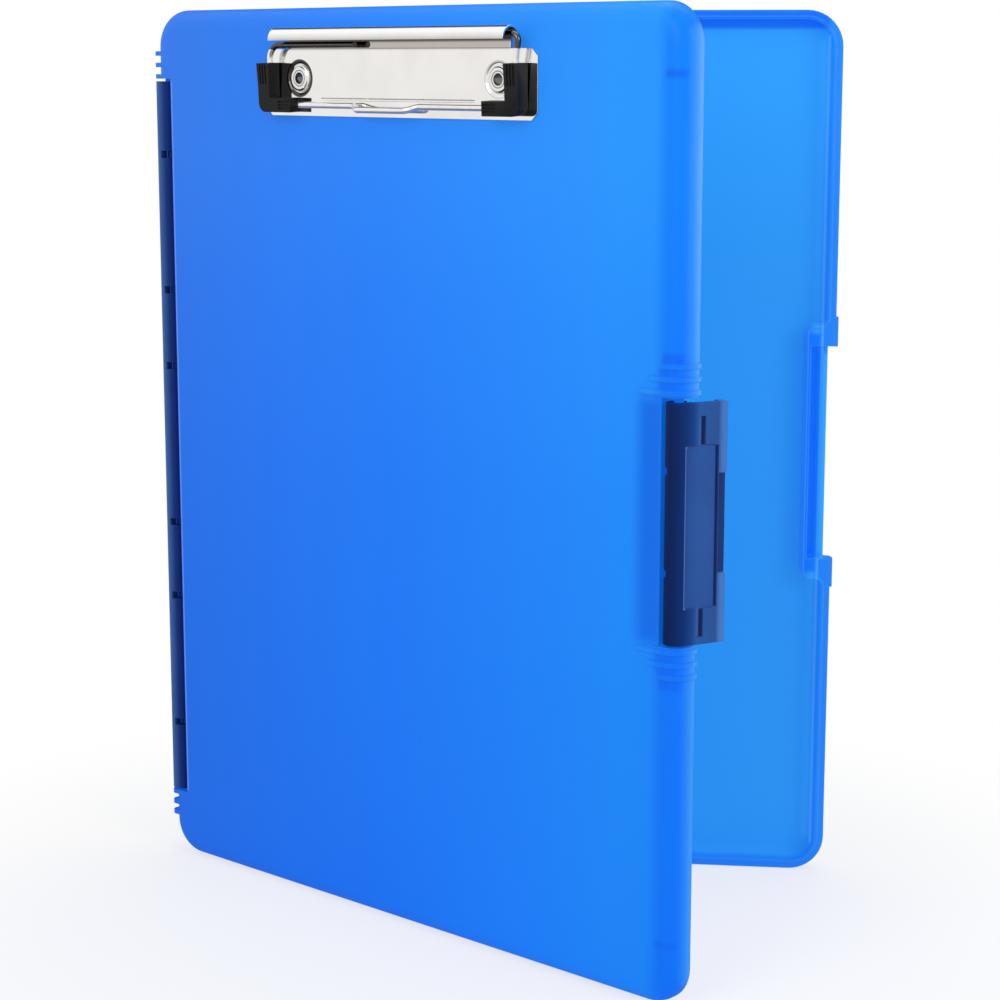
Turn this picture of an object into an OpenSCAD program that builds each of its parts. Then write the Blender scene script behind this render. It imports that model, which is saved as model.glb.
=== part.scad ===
// Storage clipboard box: two shallow trays hinged along one long edge, a snap latch
// on the other, and a low wire clip on the front cover.
// The box stands on its lower edges with the cover part open. Lengths are in millimetres.
//
// Closed frame: X runs from the hinge edge to the free edge, Z goes up, and the parting
// plane is Y = 0, with the cover at negative Y and the tray at positive Y.
// Plan frame: X as before, Y goes up the board, and Z points out of the tray's outer face.

/* [Board] */
// Height of both trays
board_h = 317.5; // [270:0.5:380]
// Width of both trays from hinge edge to free edge
board_w = 245; // [205:0.5:290]
// Depth of one tray from the parting plane to its outer face
tray_depth = 8.5; // [8.5:0.1:14]
// Radius of the four corners in plan
corner_r = 13; // [10:0.5:20]
// Radius that rounds the outer face into the sides
edge_r = 6.5; // [4:0.1:7]
// Thickness of the flat face of a tray
face_t = 2; // [1.6:0.1:3]
// Thickness of the side walls at the rim
rim_t = 3.2; // [2.6:0.1:4]
// Radius where the inside of the face meets the walls
inner_r = 3.6; // [2:0.1:4]
// Gap between the two rims when the box is shut
rim_gap = 0.2; // [0.1:0.05:0.6]
// Height of the tongue on the tray's rim
tongue_h = 0.7; // [0.4:0.1:1.2]
// Width of the tongue along the rim's inner edge
tongue_w = 1; // [0.8:0.1:1.6]
// Clearance round the tongue in the cover's rebate
tongue_gap = 0.3; // [0.2:0.05:0.5]

/* [Pose] */
// Angle between the cover and the tray as the box stands
open_angle = 35.3; // [0:0.1:175]
// Angle of the latch from its shut place as the box stands
latch_swing = 20; // [0:1:70]

/* [Hinge] */
// Distance from the hinge recess to each end of the board
hinge_end = 24.3; // [20:0.1:40]
// Clearance at each end of the spine
spine_end_gap = 0.95; // [0.5:0.05:2]
// Radius of the hinge rods
rod_r = 1.6; // [1.2:0.1:2.2]
// Radial clearance of rods in their sockets
rod_gap = 0.06; // [0.01:0.01:0.1]
// Width of the mouth that lets a rod snap in
mouth_w = 2.6; // [2:0.1:3]
// Clearance between the spine's knuckles and the recess
spine_side_gap = 1.1; // [0.4:0.1:1.5]
// Distance that the trays stay clear of the flat hinge side
hinge_side_gap = 0.35; // [0.3:0.05:0.8]
// Radius of the two outer corners of the spine
spine_corner_r = 2.5; // [1.5:0.1:3.5]
// Thickness of the lugs that carry a rod
lug_t = 1.6; // [1.2:0.1:2.4]
// Depth of the lugs across the tray
lug_depth = 2.4; // [2:0.1:3]
// Clearance of a lug in its slot
lug_gap = 0.5; // [0.25:0.05:0.6]
// Distance of the inner lugs from mid height
inner_lug = 29.5; // [20:0.1:35]
// Distance of the middle lugs from mid height
middle_lug = 57.7; // [50:0.1:70]
// Distance of the outer lugs from mid height
outer_lug = 107.2; // [90:0.1:110]

/* [End ribs] */
// Number of ribs at each end of the hinge
end_ribs = 3; // [1:1:4]
// Pitch of the ribs
rib_pitch = 4.1; // [3:0.1:5]
// Thickness of a rib
rib_t = 1.6; // [1:0.1:2.4]
// Corner radius of the hinge ribs
rib_corner_r = 2; // [1:0.1:3]
// Distance from the recess to the nearest rib
rib_start_gap = 0; // [0:0.1:2]

/* [Latch] */
// Length of the latch along the free edge
latch_len = 76.3; // [50:0.1:100]
// Clearance at each end of the latch
latch_end_gap = 1.1; // [0.8:0.1:2]
// Distance that the latch has slid down in its recess
latch_sag = 0.4; // [0:0.1:0.5]
// Clearance between the latch's knuckle and the recess
knuckle_gap = 0.4; // [0.3:0.05:0.8]
// Radius of the latch's knuckle round its rod
latch_knuckle_r = 4; // [3.6:0.1:4]
// Depth of the latch rod below the parting plane
latch_rod_depth = 4.4; // [4.4:0.1:4.5]
// Distance of the latch's side inside the free edge
latch_side_inset = 0.4; // [0:0.1:1]
// Thickness of the latch's side
latch_wall = 2; // [1.6:0.1:2.4]
// Distance that the latch stands past the tray's outer face
latch_proud = 2.5; // [1:0.1:3]
// Thickness of the latch's hooked lip
lip_t = 2.4; // [1.5:0.1:2.6]
// Corner radius of the latch's free edge
lip_corner_r = 0.8; // [0.5:0.1:1]
// Length of the hooked lip inside the latch's side
lip_len = 2.2; // [1.5:0.1:2.6]
// Distance of the two latch lugs from mid height
latch_lug_at = 16.2; // [10:0.1:25]
// Angle by which the latch lugs lean from the face towards the parting plane
latch_lug_tilt = 20; // [0:1:25]
// Width of a latch lug round the rod
latch_lug_w = 1.6; // [1.2:0.1:1.8]
// Clearance of a latch lug as the latch turns
latch_lug_gap = 0.3; // [0.2:0.05:0.4]
// Angle that the latch turns from shut to fully open
latch_travel = 60; // [45:1:70]
// Clearance between the latch and what it hooks on
catch_gap = 0.3; // [0.25:0.05:0.6]
// Thickness of the web that the catch stands on
catch_web_t = 2; // [1.5:0.1:2.5]
// Radius of the rounded bead along the catch
catch_bead_r = 1.7; // [1.2:0.1:2]
// Width of the sunk panel on the latch's side
panel_w = 11.4; // [6:0.1:11.5]
// How far the panel's middle lies below the latch's middle
panel_drop = 0.9; // [0:0.1:2]
// Distance of the panel from the latch's free edge
panel_inset = 3.6; // [2.5:0.1:6]
// Length of the sunk panel
panel_len = 51.7; // [40:0.1:60]
// Depth of the sunk panel
panel_sink = 0.6; // [0.3:0.1:0.9]
// Corner radius of the sunk panel
panel_r = 1.6; // [0.8:0.1:2.5]
// Width of the grooves that run on from the panel
groove_w = 2.6; // [1:0.1:3]
// Length of those grooves
groove_len = 9; // [5:0.1:10]
// Length of the finger scoop in the latch's free edge
scoop_len = 30.9; // [20:0.1:40]
// Amount that the scoop takes off the free edge
scoop_cut = 1.7; // [0.8:0.1:2]
// Depth of the scoop into the latch's side
scoop_depth = 1.5; // [0.8:0.1:1.8]

/* [Latch surround] */
// Number of ribs above and below the latch
guard_ribs = 3; // [1:1:4]
// Height that these ribs stand proud
guard_proud = 0.8; // [0.4:0.1:1.2]
// Distance of the nearest rib's middle from the recess
guard_start = 1.5; // [1:0.1:3]
// Distance from the free edge to where the nearest rib starts
guard_reach = 16.5; // [12:0.1:20]
// Amount by which each further rib is shorter
guard_step = 4.2; // [2:0.1:5]
// Depth of the hollow in the cover beside the latch
hollow_sink = 1; // [0.5:0.1:1.2]
// Width of that hollow
hollow_w = 9; // [6:0.1:12]
// Thickness of the walls round the recesses
recess_wall = 2; // [1.6:0.1:2.6]
// Radius of the recess wall's corners beside the latch
land_r = 3; // [2:0.1:4]
// Thickness of the solid at each end of the latch recess, before the hollow starts
land_end = 7.6; // [3:0.1:9]
// Length of the boss beside the latch notch on the tray
boss_len = 10.5; // [6:0.1:14]
// Distance of the outer braces in the cover's free edge from the board's ends
end_brace = 21.75; // [15:0.05:30]
// Distance of the inner braces from mid height
mid_brace = 54.7; // [45:0.1:70]
// Thickness of a brace
brace_t = 2; // [1:0.1:3]
// Length of a brace along the face
brace_len = 6.8; // [4:0.1:9]

/* [Clip plate] */
// Distance of the clip's middle from the hinge edge
clip_x = 124.5; // [100:0.5:150]
// Distance of the rivets below the board's upper edge
rivet_drop = 23.8; // [20:0.1:40]
// Width of the plate
plate_w = 124.6; // [100:0.1:150]
// Thickness of the sheet
sheet_t = 0.8; // [0.6:0.1:1]
// Distance from the rivets to the plate's lower edge
plate_below = 12.7; // [11.5:0.1:15]
// Distance from the rivets to the plate's upper edge
plate_above = 9.8; // [8:0.1:10.5]
// Bevel of the plate's corners
plate_bevel = 2.5; // [1:0.1:4]
// Distance of the neck's edges inside the plate's ends
neck_inset = 11.3; // [10:0.1:20]
// Distance of the curl's ends inside the plate's ends
curl_inset = 8.3; // [7:0.1:10]
// Outer radius of the curl
curl_r = 4; // [3.8:0.1:4.5]
// Height of the curl's axis above the rivets
curl_rise = 13; // [12.8:0.1:14]
// Angle at which the curl's lip ends, below straight out
curl_lip = 5; // [0:1:60]
// Distance from the rivets down to the pressed crease
crease_below = 7; // [6:0.1:8.5]
// Distance of the crease's ends inside the plate's ends
crease_inset = 26.3; // [24:0.1:35]
// Depth of the crease
crease_sink = 0.3; // [0.1:0.05:0.4]

/* [Rivets] */
// Distance of the rivets inside the plate's ends
rivet_inset = 16.4; // [15:0.1:22]
// Radius of a rivet's shank
shank_r = 2.6; // [2.4:0.1:3]
// Radius of the hole through a rivet
eyelet_r = 1.9; // [1.5:0.1:2]
// Clearance of the shank in its holes
shank_gap = 0.08; // [0.05:0.01:0.2]
// Radius of a rivet's head
head_r = 4.6; // [4:0.1:5]
// Height of a rivet's head
head_t = 0.7; // [0.5:0.1:1]
// Radius of the shallow dish round a rivet
dish_r = 5.9; // [5.2:0.1:6.5]
// Depth of that dish
dish_sink = 0.35; // [0.2:0.05:0.5]
// Radius of the washer inside the cover
washer_r = 4.8; // [4:0.1:6]
// Thickness of that washer
washer_t = 0.8; // [0.5:0.1:1.2]
// Radius of the rolled end over the washer
roll_r = 3.6; // [3.2:0.1:3.8]
// Height of the rolled end
roll_t = 0.6; // [0.4:0.1:1]

/* [Wire bail] */
// Radius of the wire
wire_r = 1.05; // [0.9:0.05:1.15]
// Distance of the left arm's lower end beyond the curl's end
left_arm_out = 4.4; // [3:0.1:5]
// Distance of the left shoulder beyond the curl's end
left_shoulder_out = 3.3; // [3:0.1:4]
// Distance of the right arm beyond the curl's end
right_arm_out = 1.8; // [1.6:0.1:3]
// Distance of the right shoulder beyond the curl's end
right_shoulder_out = 3.2; // [3:0.1:5]
// Depth of the left leg below the curl's axis
left_leg_drop = 1.8; // [1:0.05:1.9]
// Height of the right leg above the curl's axis
right_leg_rise = 1.1; // [0.5:0.05:1.8]
// Length of each leg inside the curl
leg_len = 38; // [20:1:45]
// Distance from the curl's axis down to the front run
run_drop = 22; // [21:0.1:24]
// Distance of the front run above the cover's face
run_height = 2.95; // [2.9:0.05:3.5]
// Bend radius at the lower corners
corner_bend = 3.5; // [3:0.1:5]
// Bend radius at the left shoulder
left_bend = 5; // [2:0.1:5]
// Bend radius at the right shoulder
right_bend = 2; // [1.5:0.1:2.5]
// Width of the finger loop
loop_w = 29; // [20:0.5:40]
// Distance that the finger loop stands out
loop_out = 3; // [2:0.1:5]
// Angle of the loop below straight out
loop_tilt = 22; // [0:1:45]
// How far the loop's middle lies to the left of the clip's middle
loop_shift = 2.3; // [0:0.1:4]
// Largest angle that the bail lifts
bail_travel = 75; // [45:1:85]

/* [Corner grips] */
// Length of a grip along the front run
grip_foot = 15.5; // [12:0.1:20]
// Length of a grip up the arm
grip_leg = 16.6; // [12:0.1:17]
// Width of the upright part of a grip
grip_leg_w = 5.6; // [4.5:0.1:7]
// Width of the lying part of a grip
grip_foot_w = 4.8; // [4:0.1:6]
// Thickness of a grip in front of the wire
grip_front = 3; // [2:0.1:4]
// Thickness of a grip behind the wire
grip_back = 2; // [1.6:0.1:2]
// Outer corner radius of a grip
grip_corner_r = 3; // [2:0.1:4]
// Clearance of the wire in a grip
grip_gap = 0.05; // [0.02:0.01:0.1]
// Depth of the grooves moulded in a grip
grip_groove = 0.35; // [0.2:0.05:0.6]
// Number of grooves on each part of a grip
grip_grooves = 3; // [1:1:4]

/* [Hidden] */
$fn = 48;

// Amount by which cuts run past a face
over = 1;
// Amount by which added pieces sink into what carries them
bite = 0.3;
half_open = open_angle / 2;
mid_h = board_h / 2;
rim_z = rim_gap / 2;
inside_z = tray_depth - face_t;
// Amount by which the wire thickens in a bend, and by which its straight runs enter the bends
bend_swell = 0.02;
bend_tuck = 0.25;

// Hinge: each rod lies half a tray's depth from the hinge side and from the parting plane
rod_x = tray_depth / 2;
knuckle_r = tray_depth / 2;
recess_x = rod_x + knuckle_r + spine_side_gap;
recess_len = board_h - 2 * hinge_end;
spine_len = recess_len - 2 * spine_end_gap;
hinge_lugs = [inner_lug, middle_lug, outer_lug];
slot_t = lug_t + 2 * lug_gap;
slot_reach = lug_depth / 2 + lug_gap;

// Latch: its knuckle touches the inner side of the latch's side wall
latch_side_x = board_w - latch_side_inset;
latch_x = latch_side_x - latch_knuckle_r;
latch_recess_x = latch_x - latch_knuckle_r - knuckle_gap;
latch_recess_len = latch_len + 2 * latch_end_gap;
latch_end_y = tray_depth + latch_proud;
latch_inner_x = latch_side_x - latch_wall;
catch_z = latch_end_y - lip_t - catch_gap;
catch_x = latch_inner_x - catch_gap;
panel_mid = latch_end_y - panel_inset - panel_w / 2;

// Clip: the curl's axis and the front run give the bail's plane
rivet_height = board_h - rivet_drop;
rivet_spacing = plate_w - 2 * rivet_inset;
neck_w = plate_w - 2 * neck_inset;
curl_len = plate_w - 2 * curl_inset;
crease_len = plate_w - 2 * crease_inset;
leg_end = curl_len / 2 - leg_len;
left_arm = curl_len / 2 + left_arm_out;
left_shoulder = curl_len / 2 + left_shoulder_out;
right_arm = curl_len / 2 + right_arm_out;
right_shoulder = curl_len / 2 + right_shoulder_out;
curl_y = rivet_height + curl_rise;
curl_z = tray_depth + curl_r;
curl_in_r = curl_r - sheet_t;
run_back = curl_z - tray_depth - run_height;
bail_tilt = atan(run_back / run_drop);
run_depth = sqrt(run_drop * run_drop + run_back * run_back);
plate_top = tray_depth + sheet_t;

// Where points of the closed frame lie as the box stands
function turned(p, a) = [p[0] * cos(a) - p[1] * sin(a), p[0] * sin(a) + p[1] * cos(a)];
function turned_about(p, c, a) = c + turned(p - c, a);
back_rod = [rod_x, rod_x];
front_rod = [rod_x, -rod_x];
function on_cover_at(p) =
    turned_about(turned_about(p, front_rod, -half_open), back_rod, -half_open);
far_edge = on_cover_at([board_w - edge_r, edge_r - tray_depth]);
near_edge = on_cover_at([hinge_side_gap + rib_corner_r, rib_corner_r - tray_depth]);
low_x = near_edge[0] - rib_corner_r;
high_x = board_w + guard_proud;
low_y = far_edge[1] - edge_r - guard_proud;
high_y = tray_depth;
mid_x = (low_x + high_x) / 2;
mid_y = (low_y + high_y) / 2;

// Placing: the tray stays, the spine turns on the tray's rod, the cover on the spine's
module standing() translate([-mid_x, -mid_y, 0]) children();
module turn_about(c, a) translate([c[0], c[1], 0]) rotate([0, 0, a]) translate([-c[0], -c[1], 0]) children();
module on_spine() standing() turn_about(back_rod, -half_open) children();
module on_cover() on_spine() turn_about(front_rod, -half_open) children();
module on_latch() on_cover() turn_about([latch_x, -latch_rod_depth], -latch_swing) children();
module cover_plan() rotate([90, 0, 0]) children();
module tray_plan() mirror([0, 1, 0]) rotate([90, 0, 0]) children();

// Half section of a tray's edge, from the middle of a corner out to its side
module edge_section(corner, round_r, depth) {
    square([corner - round_r, depth]);
    square([corner, depth - round_r]);
    translate([corner - round_r, depth - round_r]) intersection() {
        circle(r = round_r);
        square(round_r);
    }
}

module edge_bar(len, corner, round_r, depth) {
    rotate([90, 0, 0]) linear_extrude(height = len) edge_section(corner, round_r, depth);
}

// Rounded slab: w by h in plan, with its upper edge rounded all the way round
module pillow(w, h, corner, round_r, depth) {
    spots = [[w - corner, h - corner, 0, h], [corner, h - corner, 90, w],
             [corner, corner, 180, h], [w - corner, corner, 270, w]];
    for (s = spots) translate([s[0], s[1], 0]) rotate([0, 0, s[2]]) {
        rotate_extrude(angle = 90) edge_section(corner, round_r, depth);
        edge_bar(s[3] - 2 * corner, corner, round_r, depth);
    }
    translate([corner, corner, 0]) cube([w - 2 * corner, h - 2 * corner, depth]);
}

module rounded_plate(w, h, r) {
    translate([r, 0]) square([w - 2 * r, h]);
    translate([0, r]) square([w, h - 2 * r]);
    for (x = [r, w - r], y = [r, h - r]) translate([x, y]) circle(r = r);
}

// Plan outline of a tray, drawn in by a distance all round
module plan_outline(inset) {
    translate([hinge_side_gap + inset, inset])
        rounded_plate(board_w - hinge_side_gap - 2 * inset, board_h - 2 * inset, corner_r - inset);
}

// Places a child at both mirrored distances from mid height
module up_and_down(distance) {
    translate([0, mid_h + distance, 0]) children();
    translate([0, mid_h - distance, 0]) mirror([0, 1, 0]) children();
}

// Extrudes a section drawn in the plan frame's X and Z along the board, centred on Y = 0
module along_board(len) translate([0, len / 2, 0]) rotate([90, 0, 0]) linear_extrude(height = len) children();

// Ribs that square off the rounded edge at both ends of the hinge
module hinge_rib_section() {
    translate([hinge_side_gap, rod_x]) square([edge_r, tray_depth - rod_x - rib_corner_r]);
    translate([hinge_side_gap + rib_corner_r, rod_x]) square([edge_r - rib_corner_r, tray_depth - rod_x]);
    translate([hinge_side_gap + rib_corner_r, tray_depth - rib_corner_r]) circle(r = rib_corner_r);
}

module hinge_ribs() {
    for (k = [0 : end_ribs - 1])
        up_and_down(recess_len / 2 + rib_start_gap + rib_t / 2 + k * rib_pitch)
            along_board(rib_t) hinge_rib_section();
}

// Ribs that wrap round the free edge above and below the latch
module guard_section(reach, height) {
    intersection() {
        union() {
            translate([board_w - edge_r, tray_depth - edge_r]) circle(r = edge_r + guard_proud);
            translate([board_w - reach, tray_depth - face_t]) square([reach - edge_r, face_t + guard_proud]);
            translate([board_w - face_t, rim_z]) square([face_t + guard_proud, tray_depth - edge_r]);
        }
        translate([board_w - reach, rim_z]) square([reach + guard_proud, height]);
    }
}

module guards() {
    for (k = [0 : guard_ribs - 1])
        up_and_down(latch_recess_len / 2 + guard_start + k * rib_pitch)
            along_board(rib_t) guard_section(guard_reach - k * guard_step, tray_depth + guard_proud);
}

// Solid bosses that end the tray's rim at both sides of its latch notch
module bosses() {
    up_and_down(latch_recess_len / 2 + boss_len / 2)
        along_board(boss_len) guard_section(guard_reach - 2 * guard_step, tray_depth - edge_r / 3);
}

// Plan of what the latch recess and its wall take from the hollow, drawn in by a distance
module latch_land(inset) {
    low_x = latch_recess_x - recess_wall + inset;
    half = latch_recess_len / 2 + land_end - inset;
    side = board_w - rim_t + inset;
    translate([low_x, mid_h - half]) rounded_plate(board_w - low_x + land_r, 2 * half, land_r - inset);
    up_and_down(half) difference() {
        translate([side - land_r - inset, -over]) square([land_r + inset + over, land_r + inset + over]);
        translate([side - land_r - inset, land_r + inset]) circle(r = land_r + inset);
    }
}

module hinge_land(inset) {
    translate([-over, mid_h - recess_len / 2 - recess_wall + inset])
        square([recess_x + recess_wall - inset + over, recess_len + 2 * (recess_wall - inset)]);
}

// Plan of the hollow, widened by a distance all round
module pocket_plan(grow) {
    difference() {
        plan_outline(rim_t - grow);
        latch_land(grow);
        hinge_land(grow);
    }
}

// Space inside a tray, held back where the two recesses have their walls
module pocket() {
    difference() {
        translate([hinge_side_gap + rim_t, rim_t, 0])
            pillow(board_w - hinge_side_gap - 2 * rim_t, board_h - 2 * rim_t,
                   corner_r - rim_t, inner_r, inside_z);
        translate([0, 0, -over]) linear_extrude(height = tray_depth + 2 * over) {
            latch_land(0);
            hinge_land(0);
        }
    }
}

// Cuts away the inner side of the hinge edge, so that it rolls past the other tray
module roll_clearance() {
    translate([0, mid_h, 0]) along_board(board_h + 2 * over) difference() {
        translate([-over, -over]) square([rod_x + over, rod_x + over]);
        translate([rod_x, rod_x]) circle(r = knuckle_r - rim_z);
    }
}

module hinge_rod() {
    translate([rod_x, mid_h + recess_len / 2 + bite, rod_x]) rotate([90, 0, 0])
        cylinder(r = rod_r, h = recess_len + 2 * bite);
    for (at = hinge_lugs) up_and_down(at)
        translate([rod_x, -lug_t / 2, rod_x - lug_depth / 2])
            cube([recess_x - rod_x + bite, lug_t, lug_depth]);
}

// What both trays share: a rounded shell with a hinge recess, its rod and a latch recess.
// Children are what stands proud of the free edge beside the latch.
module tray_body() {
    difference() {
        union() {
            translate([hinge_side_gap, 0, 0])
                pillow(board_w - hinge_side_gap, board_h, corner_r, edge_r, tray_depth);
            hinge_ribs();
            children();
        }
        pocket();
        roll_clearance();
        translate([-over, -over, -over]) cube([board_w + 2 * over, board_h + 2 * over, over + rim_z]);
        translate([-over, mid_h - recess_len / 2, -over])
            cube([recess_x + over, recess_len, tray_depth + 2 * over]);
        translate([latch_recess_x, mid_h - latch_recess_len / 2, -over])
            cube([board_w - latch_recess_x + 2 * over, latch_recess_len, tray_depth + 3 * over]);
    }
    hinge_rod();
}

// Tongue and rebate run round the rim, clear of the hinge side
module hinge_side(gap) translate([-over, -over]) square([2 * recess_x - gap + over, board_h + 2 * over]);

module tongue() {
    translate([0, 0, rim_z - tongue_h]) linear_extrude(height = tongue_h + bite) difference() {
        pocket_plan(tongue_w);
        pocket_plan(0);
        hinge_side(0);
    }
}

module rebate() {
    translate([0, 0, -over]) linear_extrude(height = over + tongue_h + tongue_gap) difference() {
        pocket_plan(tongue_w + tongue_gap);
        hinge_side(tongue_gap);
    }
}

// The ledge and bead that the latch's lip goes behind
module catch_rail() {
    translate([0, mid_h, 0]) along_board(latch_recess_len + 2 * bite) {
        translate([latch_recess_x - bite, catch_z - catch_web_t])
            square([catch_x - latch_recess_x + bite - catch_bead_r, catch_web_t]);
        translate([catch_x - catch_bead_r, catch_z - catch_bead_r]) circle(r = catch_bead_r);
        translate([catch_x - 2 * catch_bead_r, catch_z - catch_bead_r - catch_web_t])
            square([2 * catch_bead_r, catch_web_t]);
        translate([catch_x - catch_bead_r, catch_z - catch_bead_r - catch_web_t]) circle(r = catch_bead_r);
    }
}

module back_shell() {
    color("dodgerblue") standing() tray_plan() {
        tray_body() bosses();
        tongue();
        catch_rail();
    }
}

module latch_rod() {
    translate([latch_x, mid_h + latch_recess_len / 2 + bite, latch_rod_depth]) rotate([90, 0, 0])
        cylinder(r = rod_r, h = latch_recess_len + 2 * bite);
    lug_reach = (latch_x - latch_recess_x) / cos(latch_lug_tilt) + latch_lug_w / 2;
    up_and_down(latch_lug_at) translate([latch_x, 0, latch_rod_depth]) rotate([0, -latch_lug_tilt, 0])
        translate([-lug_reach, -lug_t / 2, -latch_lug_w / 2]) cube([lug_reach, lug_t, latch_lug_w]);
}

module corner_braces() {
    for (at = [mid_brace, mid_h - end_brace]) up_and_down(at) along_board(brace_t) polygon([
        [board_w - rim_t - brace_len, inside_z + bite],
        [board_w - rim_t + bite, inside_z + bite],
        [board_w - rim_t + bite, rim_z + tongue_h + 2 * tongue_gap],
        [board_w - rim_t, rim_z + tongue_h + 2 * tongue_gap]]);
}

// Shallow hollow that lets a finger reach the latch's pivot edge
module finger_hollow() {
    hollow_r = (hollow_w * hollow_w + hollow_sink * hollow_sink) / (2 * hollow_sink);
    translate([latch_recess_x, mid_h + latch_recess_len / 2, tray_depth + hollow_r - hollow_sink])
        rotate([90, 0, 0]) cylinder(r = hollow_r, h = latch_recess_len, $fn = 180);
}

module front_shell() {
    color("dodgerblue") on_cover() cover_plan() {
        difference() {
            tray_body() guards();
            rebate();
            finger_hollow();
            at_rivets() cylinder(r = shank_r + shank_gap, h = 2 * tray_depth);
        }
        latch_rod();
        corner_braces();
    }
}

// Spine: two sockets side by side in one strip, square on the outside
module spine_section() {
    difference() {
        union() {
            for (side = [-1, 1]) {
                translate([rod_x, side * rod_x]) circle(r = knuckle_r);
                translate([spine_corner_r, side * (tray_depth - spine_corner_r)]) circle(r = spine_corner_r);
            }
            translate([0, spine_corner_r - tray_depth]) square([rod_x, 2 * (tray_depth - spine_corner_r)]);
            translate([spine_corner_r, -tray_depth]) square([rod_x - spine_corner_r, 2 * tray_depth]);
        }
        for (side = [-1, 1]) {
            translate([rod_x, side * rod_x]) circle(r = rod_r + rod_gap);
            translate([rod_x, side * rod_x - mouth_w / 2]) square([tray_depth, mouth_w]);
        }
    }
}

module lug_slot(side, at) {
    translate([rod_x - slot_reach, side * (rod_x - slot_reach), at])
        rotate([side < 0 ? 180 : 0, 0, 0]) translate([0, 0, -slot_t / 2]) cube([tray_depth, tray_depth, slot_t]);
}

module hinge_spine() {
    color("midnightblue") on_spine() translate([0, 0, mid_h]) difference() {
        translate([0, 0, -spine_len / 2]) linear_extrude(height = spine_len) spine_section();
        for (side = [-1, 1], at = hinge_lugs) {
            lug_slot(side, at);
            lug_slot(side, -at);
        }
    }
}

// Latch, drawn shut: a knuckle round the cover's rod, a side wall and a hooked lip
module latch_section() {
    lip_x = latch_inner_x - lip_len;
    difference() {
        union() {
            translate([latch_x, -latch_rod_depth]) circle(r = latch_knuckle_r);
            translate([latch_inner_x, -latch_rod_depth])
                square([latch_wall, latch_rod_depth + latch_end_y - lip_corner_r]);
            translate([lip_x, latch_end_y - lip_t]) square([latch_side_x - lip_x - lip_corner_r, lip_t]);
            translate([latch_side_x - lip_corner_r, latch_end_y - lip_corner_r]) circle(r = lip_corner_r);
        }
        translate([latch_x, -latch_rod_depth]) circle(r = rod_r + rod_gap);
        translate([latch_x - mouth_w / 2, -latch_rod_depth]) square([mouth_w, 2 * latch_knuckle_r]);
    }
}

// Sector cut out of the knuckle where a lug passes as the latch turns
module latch_lug_slot() {
    spread = asin((latch_lug_w / 2 + latch_lug_gap) / (rod_r + rod_gap));
    translate([latch_x, -latch_rod_depth, -slot_t / 2])
        rotate([0, 0, 180 - latch_lug_tilt - spread])
            rotate_extrude(angle = latch_travel + 2 * spread)
                translate([rod_r - bite, 0]) square([2 * latch_knuckle_r, slot_t]);
}

module sunk_panel() {
    translate([latch_side_x - panel_sink, panel_mid, 0]) rotate([90, 0, 90])
        linear_extrude(height = panel_sink + over) {
            translate([-panel_w / 2, -panel_len / 2]) rounded_plate(panel_w, panel_len, panel_r);
            translate([-groove_w / 2, -panel_len / 2 - groove_len])
                rounded_plate(groove_w, panel_len + 2 * groove_len, groove_w / 3);
        }
}

// Scoop in the latch's free edge, with slanted ends, for a fingertip
module finger_scoop() {
    translate([latch_side_x - scoop_depth, latch_end_y, 0]) rotate([90, 0, 90])
        linear_extrude(height = scoop_depth + over) polygon([
            [-scoop_cut, scoop_cut - scoop_len / 2], [over, -over - scoop_len / 2],
            [over, scoop_len / 2 + over], [-scoop_cut, scoop_len / 2 - scoop_cut]]);
}

module latch() {
    color("navy") on_latch() translate([0, 0, mid_h]) difference() {
        translate([0, 0, -latch_sag - latch_len / 2]) linear_extrude(height = latch_len) latch_section();
        for (side = [-1, 1]) translate([0, 0, side * latch_lug_at]) latch_lug_slot();
        translate([0, 0, -latch_sag]) {
            translate([0, 0, -panel_drop]) sunk_panel();
            finger_scoop();
        }
    }
}

// Clip, drawn in the cover's plan frame with its middle at X = 0
module at_clip() translate([clip_x, 0, 0]) children();
module at_rivet(side) translate([clip_x + side * rivet_spacing / 2, rivet_height, 0]) children();
module at_rivets() for (side = [-1, 1]) at_rivet(side) children();

module plate_outline() {
    left = -plate_w / 2;
    low = rivet_height - plate_below;
    high = rivet_height + plate_above;
    b = plate_bevel;
    polygon([[left + b, low], [-left - b, low], [-left, low + b], [-left, high - b],
             [-left - b, high], [left + b, high], [left, high - b], [left, low + b]]);
}

module curl_section() {
    difference() {
        union() {
            circle(r = curl_r, $fn = 96);
            translate([-curl_r, -bite]) square([curl_r, bite]);
        }
        circle(r = curl_in_r, $fn = 96);
        polygon([[0, 0], 3 * curl_r * [cos(curl_lip), -sin(curl_lip)], [3 * curl_r, -4 * curl_r],
                 [-curl_in_r, -4 * curl_r], [-curl_in_r, 0]]);
        translate([-2 * curl_r, -bite - 4 * curl_r]) square([2 * curl_r, 4 * curl_r]);
    }
}

// The neck goes up from the plate into the curl; the section's X is out of the face
module curl() {
    translate([-curl_len / 2, curl_y, curl_z]) rotate([90, 0, 90]) rotate([0, 0, 90])
        linear_extrude(height = curl_len) mirror([0, 1, 0]) curl_section();
}

module clip_base_plate() {
    color("gainsboro") on_cover() cover_plan() difference() {
        at_clip() {
            translate([0, 0, tray_depth]) linear_extrude(height = sheet_t) {
                plate_outline();
                translate([-neck_w / 2, rivet_height]) square([neck_w, curl_rise]);
            }
            curl();
        }
        at_rivets() {
            cylinder(r = shank_r + shank_gap, h = 2 * tray_depth);
            translate([0, 0, plate_top - dish_sink]) cylinder(r = dish_r, h = over);
        }
        at_clip() translate([-crease_len / 2, rivet_height - crease_below, plate_top + crease_sink])
            rotate([0, 90, 0]) cylinder(r = 2 * crease_sink, h = crease_len);
    }
}

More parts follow.
